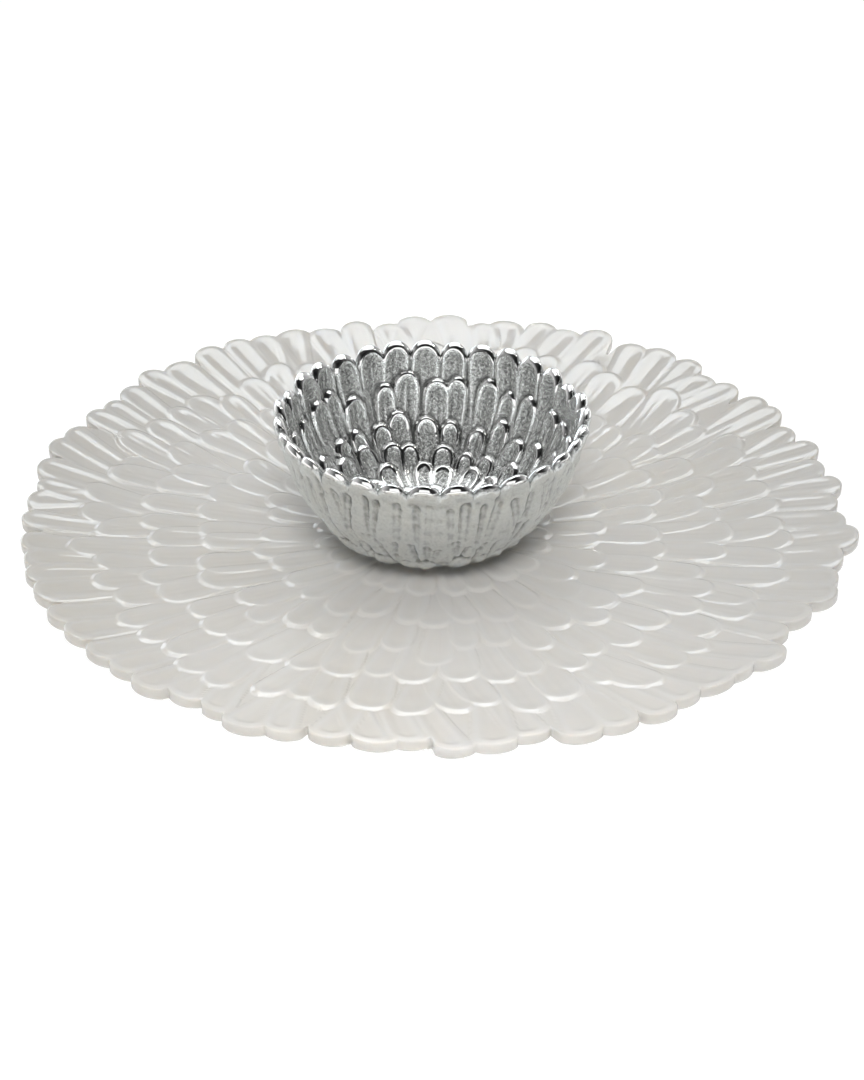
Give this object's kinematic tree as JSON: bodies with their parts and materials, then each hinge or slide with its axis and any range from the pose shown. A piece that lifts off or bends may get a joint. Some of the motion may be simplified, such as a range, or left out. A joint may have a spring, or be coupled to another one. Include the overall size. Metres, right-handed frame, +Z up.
{
  "type": "chip and dip server",
  "caption": "Round shallow glazed plate moulded as overlapping flower petals with a scalloped rim, and a loose hemispherical cast metal dip bowl standing in its middle.",
  "frame": {"origin": "centre of the circle that the plate's foot ring stands on, at table height", "axes": "+Z up, along the common axis of the plate and the bowl; -Y is the side towards the viewer; +X to the viewer's right"},
  "size_m": [0.356, 0.3556, 0.066],
  "materials": {
    "glaze": "gloss",
    "cast_metal": "polished",
    "clear_pad": "satin"
  },
  "bodies": {
    "plate": {"plate": "glaze"},
    "bowl": {"dip_bowl": "cast_metal", "bowl_bumpers": "clear_pad"}
  },
  "joints": [
    {"name": "bowl_lift", "type": "slide", "parent": "plate", "child": "bowl", "axis": [0, 0, 1], "range_m": [0, 0.12]}
  ]
}
